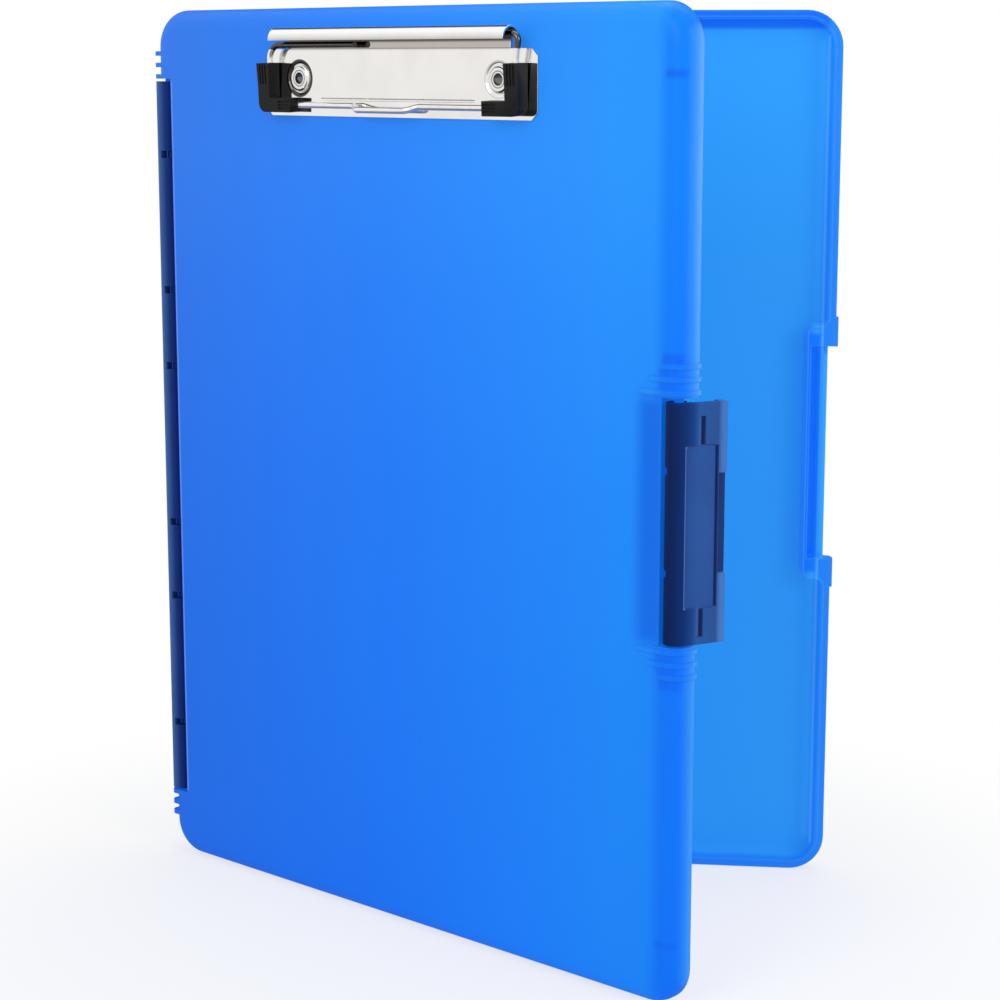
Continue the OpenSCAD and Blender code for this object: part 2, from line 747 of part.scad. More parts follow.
// Tubular rivet: head in the plate's dish, shank through the face, end rolled on the washer
module rivet(side) {
    low = inside_z - washer_t - roll_t;
    seat = plate_top - dish_sink;
    color("silver") on_cover() cover_plan() at_rivet(side) rotate_extrude() difference() {
        union() {
            translate([0, low + roll_t / 2]) square([shank_r, seat + head_t / 2 - low - roll_t / 2]);
            translate([0, seat]) square([head_r - head_t / 2, head_t]);
            translate([head_r - head_t / 2, seat + head_t / 2]) circle(r = head_t / 2);
            translate([0, low]) square([roll_r - roll_t / 2, roll_t]);
            translate([roll_r - roll_t / 2, low + roll_t / 2]) circle(r = roll_t / 2);
        }
        translate([-over, low - over]) square([eyelet_r + over, tray_depth + 3 * over]);
        translate([head_r, seat + head_t + head_t]) circle(r = head_t * 1.6);
    }
}

module washer(side) {
    color("silver") on_cover() cover_plan() at_rivet(side)
        translate([0, 0, inside_z - washer_t]) difference() {
            cylinder(r = washer_r, h = washer_t);
            translate([0, 0, -over]) cylinder(r = shank_r + shank_gap, h = washer_t + 2 * over);
        }
}

module rivet_left() rivet(-1);
module rivet_right() rivet(1);
module washer_left() washer(-1);
module washer_right() washer(1);

// Bail frame: origin on the curl's axis, Y up along the bail, Z out of the face
module on_bail() {
    on_cover() cover_plan() at_clip() translate([0, curl_y, curl_z]) rotate([bail_tilt, 0, 0]) children();
}

function heading(a, b) = atan2(b[1] - a[1], b[0] - a[0]);
function distance(a, b) = norm(b - a);
function wrapped(a) = a > 180 ? a - 360 : a < -180 ? a + 360 : a;
function turn_at(pts, i) = wrapped(heading(pts[i], pts[i + 1]) - heading(pts[i - 1], pts[i]));
function trim_at(pts, bends, i) =
    i == 0 || i == len(pts) - 1 ? 0 : bends[i] * tan(abs(turn_at(pts, i)) / 2);

// Round wire through points in one plane, with a bend radius at each inner point
module bent_wire(pts, bends, r) {
    for (i = [0 : len(pts) - 2]) {
        start = trim_at(pts, bends, i);
        run = distance(pts[i], pts[i + 1]) - start - trim_at(pts, bends, i + 1);
        if (run > bend_tuck) translate([pts[i][0], pts[i][1], 0])
            rotate([0, 0, heading(pts[i], pts[i + 1])]) translate([start - bend_tuck, 0, 0])
                rotate([0, 90, 0]) cylinder(r = r, h = run + 2 * bend_tuck);
    }
    for (i = [1 : len(pts) - 2]) {
        turn = turn_at(pts, i);
        translate([pts[i][0], pts[i][1], 0]) rotate([0, 0, heading(pts[i - 1], pts[i])])
            translate([-trim_at(pts, bends, i), 0, 0]) rotate([turn < 0 ? 180 : 0, 0, 0])
                translate([0, bends[i], 0]) rotate([0, 0, -90])
                    rotate_extrude(angle = abs(turn)) translate([bends[i], 0])
                        circle(r = r + bend_swell);
    }
}

// The loop rises at half a right angle, so its end bends reach this far along the run
loop_trim = corner_bend * tan(45 / 2);
loop_end = loop_w / 2 + loop_trim;
left_path = [[-loop_end - loop_shift, -run_depth], [-left_arm, -run_depth],
             [-left_shoulder, -left_leg_drop], [-leg_end, -left_leg_drop]];
left_bends = [0, corner_bend, left_bend, 0];
right_path = [[loop_end - loop_shift, -run_depth], [right_arm, -run_depth],
              [right_arm, -curl_r - 3 * wire_r], [right_shoulder, right_leg_rise],
              [leg_end, right_leg_rise]];
right_bends = [0, corner_bend, corner_bend, right_bend, 0];
loop_path = [[-loop_end, 0], [-loop_w / 2, 0], [-loop_w / 2 + loop_out, loop_out],
             [loop_w / 2 - loop_out, loop_out], [loop_w / 2, 0], [loop_end, 0]];
loop_bends = [0, corner_bend, corner_bend, corner_bend, corner_bend, 0];

module bail_wire() {
    color("whitesmoke") on_bail() {
        bent_wire(left_path, left_bends, wire_r);
        bent_wire(right_path, right_bends, wire_r);
        translate([-loop_shift, -run_depth, 0]) rotate([90 + loop_tilt, 0, 0])
            bent_wire(loop_path, loop_bends, wire_r);
    }
}

// L-shaped grip on a corner of the bail: its arm lies at X = 0 and its foot runs to +X
module grip_outline() {
    outer = grip_leg_w / 2;
    low = -grip_foot_w / 2;
    difference() {
        union() {
            translate([-outer, low]) square([grip_leg_w, grip_leg]);
            translate([-outer, low]) square([grip_foot, grip_foot_w]);
        }
        translate([-outer, low]) difference() {
            square(grip_corner_r);
            translate([grip_corner_r, grip_corner_r]) circle(r = grip_corner_r);
        }
    }
}

module grip_body() {
    leg_top = grip_leg - grip_foot_w / 2;
    foot_end = grip_foot - grip_leg_w / 2;
    difference() {
        translate([0, 0, -grip_back]) linear_extrude(height = grip_back + grip_front) grip_outline();
        for (k = [1 : grip_grooves]) {
            translate([grip_leg_w * (k / (grip_grooves + 1) - 0.5), leg_top + over, grip_front])
                rotate([90, 0, 0]) cylinder(r = grip_groove, h = leg_top - grip_foot_w / 2 + over);
            translate([grip_leg_w / 2 + over, grip_foot_w * (k / (grip_grooves + 1) - 0.5), grip_front])
                rotate([0, 90, 0]) cylinder(r = grip_groove, h = foot_end);
        }
    }
}

module grip_left() {
    color("black") on_bail() difference() {
        translate([-left_arm, -run_depth, 0]) grip_body();
        bent_wire(left_path, left_bends, wire_r + grip_gap);
    }
}

module grip_right() {
    color("black") on_bail() difference() {
        translate([right_arm, -run_depth, 0]) mirror([1, 0, 0]) grip_body();
        bent_wire(right_path, right_bends, wire_r + grip_gap);
    }
}

back_shell();
front_shell();
hinge_spine();
latch();
clip_base_plate();
bail_wire();
grip_left();
grip_right();
rivet_left();
rivet_right();
washer_left();
washer_right();
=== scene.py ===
# Storage clipboard box: two frosted blue trays on a dark hinge spine, a snap latch and a wire clip.
import math

import bmesh
import bpy
from mathutils import Euler, Matrix, Vector


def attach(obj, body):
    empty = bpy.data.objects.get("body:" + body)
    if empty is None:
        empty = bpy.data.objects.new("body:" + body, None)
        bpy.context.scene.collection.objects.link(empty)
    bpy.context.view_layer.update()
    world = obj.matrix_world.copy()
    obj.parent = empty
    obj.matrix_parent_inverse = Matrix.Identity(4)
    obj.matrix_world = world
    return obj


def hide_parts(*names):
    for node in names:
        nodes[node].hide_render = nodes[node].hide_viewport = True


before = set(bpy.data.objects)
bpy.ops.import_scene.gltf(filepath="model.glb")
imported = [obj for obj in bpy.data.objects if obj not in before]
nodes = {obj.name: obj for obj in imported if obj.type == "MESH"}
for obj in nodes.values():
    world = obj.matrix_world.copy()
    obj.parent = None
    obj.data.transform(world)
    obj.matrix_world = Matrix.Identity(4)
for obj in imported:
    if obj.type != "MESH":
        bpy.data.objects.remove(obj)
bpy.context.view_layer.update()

# Places of the closed box's frame in the model, in metres
OPEN = math.radians(35.3)
FRAME_X = 0.121311
FRAME_Y = -0.068088
ROD = 0.00425
BOARD_W = 0.245
BOARD_H = 0.3175
DEPTH = 0.0085


def turned(point, pivot, angle):
    """A plan point turned about a pivot."""
    x, y = point[0] - pivot[0], point[1] - pivot[1]
    return (
        pivot[0] + x * math.cos(angle) - y * math.sin(angle),
        pivot[1] + x * math.sin(angle) + y * math.cos(angle),
    )


def on_cover(x, y):
    """Plan point of the closed cover, where it lies in the model."""
    p = turned((x, y), (ROD, -ROD), -OPEN / 2)
    p = turned(p, (ROD, ROD), -OPEN / 2)
    return (p[0] - FRAME_X, p[1] - FRAME_Y)


# Camera and stage

AMBIENT = 0.55


def make_camera():
    data = bpy.data.cameras.new("photo_camera")
    data.sensor_width = 36.0
    data.lens = 85.73
    data.clip_start = 0.05
    data.clip_end = 30.0
    camera = bpy.data.objects.new("photo_camera", data)
    bpy.context.scene.collection.objects.link(camera)
    turn = Euler((math.radians(90 - 10.384), 0.0, math.radians(6.695))).to_matrix()
    turn = turn @ Matrix.Rotation(math.radians(0.035), 3, "Z")
    camera.matrix_world = Matrix.Translation((0.103039, -0.798192, 0.29866)) @ turn.to_4x4()
    bpy.context.scene.camera = camera


def seen_mask(tree):
    """1 for rays that look, mirror or pass through, 0 for rays that light the object."""
    path = tree.nodes.new("ShaderNodeLightPath")
    first = tree.nodes.new("ShaderNodeMath")
    first.operation = "MAXIMUM"
    second = tree.nodes.new("ShaderNodeMath")
    second.operation = "MAXIMUM"
    tree.links.new(path.outputs["Is Camera Ray"], first.inputs[0])
    tree.links.new(path.outputs["Is Glossy Ray"], first.inputs[1])
    tree.links.new(first.outputs[0], second.inputs[0])
    tree.links.new(path.outputs["Is Transmission Ray"], second.inputs[1])
    return second.outputs[0]


def make_world():
    """White studio with a plain light. Mirrored, the wall behind the object is darker, as a room is."""
    world = bpy.data.worlds.new("studio")
    world.use_nodes = True
    tree = world.node_tree
    tree.nodes.clear()
    out = tree.nodes.new("ShaderNodeOutputWorld")
    light = tree.nodes.new("ShaderNodeBackground")
    light.inputs["Color"].default_value = (1.0, 1.0, 1.0, 1.0)
    light.inputs["Strength"].default_value = AMBIENT
    seen = tree.nodes.new("ShaderNodeBackground")
    seen.inputs["Strength"].default_value = 1.0
    coord = tree.nodes.new("ShaderNodeTexCoord")
    way = tree.nodes.new("ShaderNodeSeparateXYZ")
    tree.links.new(coord.outputs["Generated"], way.inputs["Vector"])
    behind = ramp(tree, way.outputs["Y"], -1.0, 1.0, [(0.55, (0.0, 0.0, 0.0)), (0.72, (1.0, 1.0, 1.0))])
    raised = ramp(tree, way.outputs["Z"], -1.0, 1.0, [(0.02, (0.0, 0.0, 0.0)), (0.10, (1.0, 1.0, 1.0))])
    dark = mix_colour(tree, "MULTIPLY", 1.0, behind, raised)
    room = mix_colour(tree, "MIX", dark, (1.0, 1.0, 1.0), (0.05, 0.04, 0.04))
    path = tree.nodes.new("ShaderNodeLightPath")
    wall = mix_colour(tree, "MIX", path.outputs["Is Camera Ray"], room, (1.0, 1.0, 1.0))
    tree.links.new(wall, seen.inputs["Color"])
    mix = tree.nodes.new("ShaderNodeMixShader")
    tree.links.new(seen_mask(tree), mix.inputs[0])
    tree.links.new(light.outputs[0], mix.inputs[1])
    tree.links.new(seen.outputs[0], mix.inputs[2])
    tree.links.new(mix.outputs[0], out.inputs["Surface"])
    bpy.context.scene.world = world
    bpy.context.scene.view_settings.view_transform = "Standard"


def make_floor():
    """White floor that keeps the object's shadow and turns into the white background further out."""
    bpy.ops.object.select_all(action="DESELECT")
    bpy.ops.mesh.primitive_plane_add(size=24.0, location=(0.0, 2.0, -0.0003))
    floor = bpy.context.object
    floor.name = "studio_floor"
    mat = bpy.data.materials.new("studio_floor_paint")
    mat.use_nodes = True
    tree = mat.node_tree
    tree.nodes.clear()
    out = tree.nodes.new("ShaderNodeOutputMaterial")
    paint = tree.nodes.new("ShaderNodeBsdfDiffuse")
    paint.inputs["Color"].default_value = (0.90, 0.90, 0.90, 1.0)
    white = tree.nodes.new("ShaderNodeEmission")
    white.inputs["Strength"].default_value = 1.0
    coord = tree.nodes.new("ShaderNodeTexCoord")
    away = tree.nodes.new("ShaderNodeVectorMath")
    away.operation = "DISTANCE"
    away.inputs[1].default_value = (0.0, -2.0, 0.0)
    tree.links.new(coord.outputs["Object"], away.inputs[0])
    blend = tree.nodes.new("ShaderNodeMapRange")
    blend.interpolation_type = "SMOOTHSTEP"
    blend.inputs["From Min"].default_value = 0.14
    blend.inputs["From Max"].default_value = 0.30
    blend.inputs["To Min"].default_value = 0.68
    blend.inputs["To Max"].default_value = 1.0
    tree.links.new(away.outputs["Value"], blend.inputs["Value"])
    share = tree.nodes.new("ShaderNodeMath")
    share.operation = "MULTIPLY"
    tree.links.new(seen_mask(tree), share.inputs[0])
    tree.links.new(blend.outputs["Result"], share.inputs[1])
    mix = tree.nodes.new("ShaderNodeMixShader")
    path = tree.nodes.new("ShaderNodeLightPath")
    # mirrored, the floor near the object is painted darker: painted shade for the reflections in the plating
    floor_reflection_shade = ramp(tree, away.outputs["Value"], 0.0, 2.0, [
        (0.2, (0.16, 0.15, 0.14)), (0.6, (0.42, 0.41, 0.40)), (1.4, (1.0, 1.0, 1.0))])
    tree.links.new(mix_colour(tree, "MIX", path.outputs["Is Glossy Ray"], (1.0, 1.0, 1.0), floor_reflection_shade), white.inputs["Color"])
    tree.links.new(share.outputs[0], mix.inputs[0])
    tree.links.new(paint.outputs[0], mix.inputs[1])
    tree.links.new(white.outputs[0], mix.inputs[2])
    tree.links.new(mix.outputs[0], out.inputs["Surface"])
    floor.data.materials.append(mat)


def soft_light(name, place, target, size, power):
    data = bpy.data.lights.new(name, "AREA")
    data.shape = "DISK"
    data.size = size
    data.energy = power
    lamp = bpy.data.objects.new(name, data)
    bpy.context.scene.collection.objects.link(lamp)
    lamp.location = place
    aim = Vector(target) - Vector(place)
    lamp.rotation_euler = aim.to_track_quat("-Z", "Y").to_euler()


# Materials


def new_group(name, inputs, outputs):
    """Node group with named float, vector or colour sockets."""
    tree = bpy.data.node_groups.new(name, "ShaderNodeTree")
    for label, kind, value in inputs:
        socket = tree.interface.new_socket(name=label, in_out="INPUT", socket_type=kind)
        if value is not None:
            socket.default_value = value
    for label, kind in outputs:
        tree.interface.new_socket(name=label, in_out="OUTPUT", socket_type=kind)
    start = tree.nodes.new("NodeGroupInput")
    end = tree.nodes.new("NodeGroupOutput")
    return tree, start, end


def grain_group():
    """Fine matt grain of a spark-finished mould, with faint cloudiness."""
    tree, start, end = new_group(
        "moulded_grain",
        [("Vector", "NodeSocketVector", None), ("Grain Size", "NodeSocketFloat", 1400.0),
         ("Cloud Size", "NodeSocketFloat", 14.0), ("Base Roughness", "NodeSocketFloat", 0.4),
         ("Roughness Spread", "NodeSocketFloat", 0.08)],
        [("Height", "NodeSocketFloat"), ("Roughness", "NodeSocketFloat"), ("Cloud", "NodeSocketFloat")],
    )
    link = tree.links.new
    grain = tree.nodes.new("ShaderNodeTexNoise")
    grain.inputs["Detail"].default_value = 3.0
    link(start.outputs["Vector"], grain.inputs["Vector"])
    link(start.outputs["Grain Size"], grain.inputs["Scale"])
    cloud = tree.nodes.new("ShaderNodeTexNoise")
    cloud.inputs["Detail"].default_value = 2.0
    link(start.outputs["Vector"], cloud.inputs["Vector"])
    link(start.outputs["Cloud Size"], cloud.inputs["Scale"])
    offset = tree.nodes.new("ShaderNodeMath")
    offset.operation = "SUBTRACT"
    offset.inputs[1].default_value = 0.5
    link(cloud.outputs["Fac"], offset.inputs[0])
    spread = tree.nodes.new("ShaderNodeMath")
    spread.operation = "MULTIPLY_ADD"
    link(offset.outputs[0], spread.inputs[0])
    link(start.outputs["Roughness Spread"], spread.inputs[1])
    link(start.outputs["Base Roughness"], spread.inputs[2])
    link(grain.outputs["Fac"], end.inputs["Height"])
    link(spread.outputs[0], end.inputs["Roughness"])
    link(cloud.outputs["Fac"], end.inputs["Cloud"])
    return tree


def edge_group():
    """Finds the edges of a moulding: a rounded normal, and a mask that is 1 right at an edge."""
    tree, start, end = new_group(
        "moulded_edges",
        [("Radius", "NodeSocketFloat", 0.0004), ("Gain", "NodeSocketFloat", 6.0)],
        [("Mask", "NodeSocketFloat"), ("Normal", "NodeSocketVector")],
    )
    link = tree.links.new
    bevel = tree.nodes.new("ShaderNodeBevel")
    bevel.samples = 4
    link(start.outputs["Radius"], bevel.inputs["Radius"])
    surface = tree.nodes.new("ShaderNodeNewGeometry")
    dot = tree.nodes.new("ShaderNodeVectorMath")
    dot.operation = "DOT_PRODUCT"
    link(bevel.outputs["Normal"], dot.inputs[0])
    link(surface.outputs["Normal"], dot.inputs[1])
    bend = tree.nodes.new("ShaderNodeMath")
    bend.operation = "SUBTRACT"
    bend.inputs[0].default_value = 1.0
    link(dot.outputs["Value"], bend.inputs[1])
    gain = tree.nodes.new("ShaderNodeMath")
    gain.operation = "MULTIPLY"
    gain.use_clamp = True
    link(bend.outputs[0], gain.inputs[0])
    link(start.outputs["Gain"], gain.inputs[1])
    link(gain.outputs[0], end.inputs["Mask"])
    link(bevel.outputs["Normal"], end.inputs["Normal"])
    return tree


def mark_group():
    """Soft rectangular mark, for a rib seen through frosted plastic and for painted light and shade: 1 inside, 0
    outside.
    """
    tree, start, end = new_group(
        "soft_mark_for_ribs_and_painted_light",
        [("Across", "NodeSocketFloat", None), ("Up", "NodeSocketFloat", None),
         ("Middle Across", "NodeSocketFloat", 0.0), ("Middle Up", "NodeSocketFloat", 0.0),
         ("Half Width", "NodeSocketFloat", 0.004), ("Half Height", "NodeSocketFloat", 0.001),
         ("Softness", "NodeSocketFloat", 0.001)],
        [("Mask", "NodeSocketFloat")],
    )
    link = tree.links.new
    sides = []
    for axis, middle, half in (("Across", "Middle Across", "Half Width"), ("Up", "Middle Up", "Half Height")):
        away = tree.nodes.new("ShaderNodeMath")
        away.operation = "SUBTRACT"
        link(start.outputs[axis], away.inputs[0])
        link(start.outputs[middle], away.inputs[1])
        size = tree.nodes.new("ShaderNodeMath")
        size.operation = "ABSOLUTE"
        link(away.outputs[0], size.inputs[0])
        outer = tree.nodes.new("ShaderNodeMath")
        outer.operation = "ADD"
        link(start.outputs[half], outer.inputs[0])
        link(start.outputs["Softness"], outer.inputs[1])
        inner = tree.nodes.new("ShaderNodeMath")
        inner.operation = "SUBTRACT"
        link(start.outputs[half], inner.inputs[0])
        link(start.outputs["Softness"], inner.inputs[1])
        fade = tree.nodes.new("ShaderNodeMapRange")
        fade.interpolation_type = "SMOOTHSTEP"
        fade.inputs["To Min"].default_value = 1.0
        fade.inputs["To Max"].default_value = 0.0
        link(size.outputs[0], fade.inputs["Value"])
        link(inner.outputs[0], fade.inputs["From Min"])
        link(outer.outputs[0], fade.inputs["From Max"])
        sides.append(fade.outputs["Result"])
    both = tree.nodes.new("ShaderNodeMath")
    both.operation = "MULTIPLY"
    link(sides[0], both.inputs[0])
    link(sides[1], both.inputs[1])
    link(both.outputs[0], end.inputs["Mask"])
    return tree


GRAIN = grain_group()
EDGES = edge_group()
MARK = mark_group()


def new_material(name):
    mat = bpy.data.materials.new(name)
    mat.use_nodes = True
    tree = mat.node_tree
    shader = tree.nodes["Principled BSDF"]
    coord = tree.nodes.new("ShaderNodeTexCoord")
    return mat, tree, shader, coord


def add_grain(tree, shader, vector, grain, cloud, rough, spread, depth, edge=0.0004):
    """Adds the grain and edge groups: roughness and a fine bump over rounded edges.
    Returns the cloud mask and the edge mask."""
    group = tree.nodes.new("ShaderNodeGroup")
    group.node_tree = GRAIN
    group.inputs["Grain Size"].default_value = grain
    group.inputs["Cloud Size"].default_value = cloud
    group.inputs["Base Roughness"].default_value = rough
    group.inputs["Roughness Spread"].default_value = spread
    tree.links.new(vector, group.inputs["Vector"])
    edges = tree.nodes.new("ShaderNodeGroup")
    edges.node_tree = EDGES
    edges.inputs["Radius"].default_value = edge
    bump = tree.nodes.new("ShaderNodeBump")
    bump.inputs["Strength"].default_value = depth
    bump.inputs["Distance"].default_value = 0.0002
    tree.links.new(group.outputs["Height"], bump.inputs["Height"])
    tree.links.new(edges.outputs["Normal"], bump.inputs["Normal"])
    tree.links.new(bump.outputs["Normal"], shader.inputs["Normal"])
    tree.links.new(group.outputs["Roughness"], shader.inputs["Roughness"])
    return group.outputs["Cloud"], edges.outputs["Mask"]


def ramp(tree, value, low, high, stops):
    """Colour ramp over a value that runs from low to high; stops are (value, colour)."""
    span = tree.nodes.new("ShaderNodeMapRange")
    span.inputs["From Min"].default_value = low
    span.inputs["From Max"].default_value = high
    tree.links.new(value, span.inputs["Value"])
    node = tree.nodes.new("ShaderNodeValToRGB")
    tree.links.new(span.outputs["Result"], node.inputs["Fac"])
    band = node.color_ramp
    while len(band.elements) > 1:
        band.elements.remove(band.elements[-1])
    for i, (at, colour) in enumerate(stops):
        place = (at - low) / (high - low)
        if i == 0:
            element = band.elements[0]
            element.position = place
        else:
            element = band.elements.new(place)
        element.color = (*colour, 1.0)
    return node.outputs["Color"]


def mix_colour(tree, mode, factor, first, second):
    node = tree.nodes.new("ShaderNodeMix")
    node.data_type = "RGBA"
    node.blend_type = mode
    if isinstance(factor, float):
        node.inputs["Factor"].default_value = factor
    else:
        tree.links.new(factor, node.inputs["Factor"])
    for value, socket in ((first, node.inputs["A"]), (second, node.inputs["B"])):
        if isinstance(value, tuple):
            socket.default_value = (*value, 1.0)
        else:
            tree.links.new(value, socket)
    return node.outputs["Result"]


def local_axes(tree, coord, place):
    """Object coordinates taken back into the frame of a place, then taken apart."""
    back = place.inverted()
    node = tree.nodes.new("ShaderNodeMapping")
    node.inputs["Rotation"].default_value = back.to_euler("XYZ")
    node.inputs["Location"].default_value = back.translation
    tree.links.new(coord.outputs["Object"], node.inputs["Vector"])
    apart = tree.nodes.new("ShaderNodeSeparateXYZ")
    tree.links.new(node.outputs["Vector"], apart.inputs["Vector"])
    return apart.outputs


def shade(*levels):
    """Linear colour from three levels of 0 to 255 as a screen shows them."""
    parts = [v / 255.0 for v in levels]
    return tuple(v / 12.92 if v <= 0.04045 else ((v + 0.055) / 1.055) ** 2.4 for v in parts)


def scaled(tree, mask, amount):
    node = tree.nodes.new("ShaderNodeMath")
    node.operation = "MULTIPLY"
    node.inputs[1].default_value = amount
    tree.links.new(mask, node.inputs[0])
    return node.outputs[0]


def add_marks(tree, across, up, marks, body):
    """Soft marks over a colour; a mark is (across, up, half width, half height, softness, strength, colour)."""
    for across_at, up_at, half_w, half_h, soft, strength, colour in marks:
        mark = tree.nodes.new("ShaderNodeGroup")
        mark.node_tree = MARK
        tree.links.new(across, mark.inputs["Across"])
        tree.links.new(up, mark.inputs["Up"])
        values = (across_at, up_at, half_w, half_h, soft)
        labels = ("Middle Across", "Middle Up", "Half Width", "Half Height", "Softness")
        for label, value in zip(labels, values):
            mark.inputs[label].default_value = value
        body = mix_colour(tree, "MIX", scaled(tree, mark.outputs["Mask"], strength), body, colour)
    return body


def frosted(name, place, across, upward, inward, wall, marks, edge_highlight_colour, edge_highlight_share, glow):
    """Frosted see-through blue polypropylene. Its colour carries painted light and shade:
    across the board, up the board, from the parting plane to the face, on the side wall and at
    soft marks, some of which are ribs seen through it. A share of the colour glows as painted light, in place of light
    that spreads inside the plastic."""
    mat, tree, shader, coord = new_material(name)
    axes = local_axes(tree, coord, place)
    # painted light and shade across the board, in depth, on the side wall and up the board
    body = ramp(tree, axes["X"], 0.0, BOARD_W, across)
    body = mix_colour(tree, "MULTIPLY", 1.0, body, ramp(tree, axes["Y"], -DEPTH, DEPTH, inward))
    on_wall = ramp(tree, axes["X"], 0.0, BOARD_W, [(0.2432, (0.0, 0.0, 0.0)), (0.2446, (1.0, 1.0, 1.0))])
    body = mix_colour(tree, "MIX", on_wall, body, ramp(tree, axes["Y"], -DEPTH, DEPTH, wall))
    body = mix_colour(tree, "MULTIPLY", 1.0, body, ramp(tree, axes["Z"], 0.0, BOARD_H, upward))
    body = add_marks(tree, axes["X"], axes["Z"], marks, body)
    cloud, edge = add_grain(tree, shader, coord.outputs["Object"], 1500.0, 9.0, 0.42, 0.10, 0.05, 0.0006)
    # painted highlight along the edges
    body = mix_colour(tree, "MIX", scaled(tree, edge, edge_highlight_share), body, edge_highlight_colour)
    veil = ramp(tree, cloud, 0.0, 1.0, [(0.3, (0.97, 0.975, 0.98)), (0.7, (1.0, 1.0, 1.0))])
    body = mix_colour(tree, "MULTIPLY", 1.0, body, veil)
    # a share of the colour glows: painted light that lifts the shade
    lit = tuple(1.0 - glow for _ in range(3))
    tree.links.new(mix_colour(tree, "MULTIPLY", 1.0, body, lit), shader.inputs["Base Color"])
    tree.links.new(body, shader.inputs["Emission Color"])
    shader.inputs["Emission Strength"].default_value = glow
    shader.inputs["IOR"].default_value = 1.49
    shader.inputs["Specular IOR Level"].default_value = 0.13
    return mat


def solid_plastic(name, place, across, marks, patch, edge_highlight, rough, spread, depth, gloss, edge, mirror=0.5):
    """Solid moulded plastic whose colour runs across the piece, on the spine and the latch as painted light and shade,
    with a fine grain, slightly lighter patches and a painted highlight along its edges. Across is (lowest, highest,
    axis, stops)."""
    mat, tree, shader, coord = new_material(name)
    vector = coord.outputs["Object"]
    cloud, rim = add_grain(tree, shader, vector, 1200.0, 45.0, rough, spread, depth, edge)
    low, high, axis, stops = across
    axes = local_axes(tree, coord, place)
    body = add_marks(tree, axes["Y"], axes["Z"], marks, ramp(tree, axes[axis], low, high, stops))
    lift = ramp(tree, cloud, 0.0, 1.0, [(0.35, (1.0, 1.0, 1.0)), (0.75, patch)])
    body = mix_colour(tree, "MULTIPLY", 1.0, body, lift)
    # painted highlight along the edges
    tree.links.new(mix_colour(tree, "MIX", scaled(tree, rim, 0.5), body, edge_highlight), shader.inputs["Base Color"])
    shader.inputs["IOR"].default_value = 1.5
    shader.inputs["Specular IOR Level"].default_value = mirror
    shader.inputs["Specular IOR Level"].default_value = gloss
    return mat


def round_mask(tree, first, second, middle, inner, outer):
    """Mask of a ring about an axis, from two coordinates across it; inner and outer are radii."""
    flat = tree.nodes.new("ShaderNodeCombineXYZ")
    tree.links.new(first, flat.inputs["X"])
    tree.links.new(second, flat.inputs["Y"])
    away = tree.nodes.new("ShaderNodeVectorMath")
    away.operation = "DISTANCE"
    away.inputs[1].default_value = (*middle, 0.0)
    tree.links.new(flat.outputs["Vector"], away.inputs[0])
    none, full = (0.0, 0.0, 0.0), (1.0, 1.0, 1.0)
    soft = 0.0001
    return ramp(tree, away.outputs["Value"], -0.001, 0.02, [
        (inner - soft, none), (inner + soft, full), (outer - soft, full), (outer + soft, none)])


def plated(name, colour, rough, spread, cloud_size, painted_rings=(), curl_shade_radius=0.0, marks=()):
    """Bright plating with faint wipe marks and a darker line along its edges, painted shade. Painted dark rings lie
    about the rivets, as (side, inner, outer, strength), for their shade and dark reflections, and painted shade darkens
    the plating inside the curl. Marks add painted reflections and shade."""
    mat, tree, shader, coord = new_material(name)
    vector = coord.outputs["Object"]
    cloud, rim = add_grain(tree, shader, vector, 500.0, cloud_size, rough, spread, 0.01, 0.00015)
    dull = tuple(0.94 * c for c in colour)
    # painted shade: a darker line along the edges
    edge_shade = tuple(0.6 * c for c in colour)
    body = ramp(tree, cloud, 0.0, 1.0, [(0.3, dull), (0.6, colour)])
    body = mix_colour(tree, "MIX", scaled(tree, rim, 0.4), body, edge_shade)
    axes = local_axes(tree, coord, COVER_PLAN)
    body = add_marks(tree, axes["X"], axes["Y"], marks, body)
    # painted dark rings about the rivets: painted shade and dark reflections
    for side, inner, outer, strength in painted_rings:
        ring = round_mask(tree, axes["X"], axes["Y"], (CLIP_X + side * RIVET_OUT, RIVET_UP), inner, outer)
        body = mix_colour(tree, "MIX", scaled(tree, ring, strength), body, PAINTED_DARK)
    # painted shade inside the curl
    if curl_shade_radius:
        tube = round_mask(tree, axes["Y"], axes["Z"], (CURL_UP, CURL_OUT), -0.0005, curl_shade_radius)
        body = mix_colour(tree, "MIX", scaled(tree, tube, 0.92), body, PAINTED_DARK)
    tree.links.new(body, shader.inputs["Base Color"])
    shader.inputs["Metallic"].default_value = 1.0
    return mat


def dress(names, mat):
    for name in names:
        mesh = nodes[name].data
        mesh.materials.clear()
        mesh.materials.append(mat)


# Modelling helpers: a primitive is added, shaped in edit mode and finished with applied modifiers


def add_box(name, centre, size):
    bpy.ops.object.select_all(action="DESELECT")
    bpy.ops.mesh.primitive_cube_add(size=1.0, location=centre, scale=size)
    piece = bpy.context.object
    piece.name = name
    bpy.ops.object.transform_apply(location=True, rotation=True, scale=True)
    return piece


def add_tube(name, centre, radius, length, turn, sides):
    bpy.ops.object.select_all(action="DESELECT")
    bpy.ops.mesh.primitive_cylinder_add(vertices=sides, radius=radius, depth=length, location=centre, rotation=turn)
    piece = bpy.context.object
    piece.name = name
    bpy.ops.object.transform_apply(location=True, rotation=True, scale=True)
    return piece


def edit(piece):
    bpy.ops.object.select_all(action="DESELECT")
    bpy.context.view_layer.objects.active = piece
    piece.select_set(True)
    bpy.ops.object.mode_set(mode="EDIT")


def leave():
    bpy.ops.object.mode_set(mode="OBJECT")


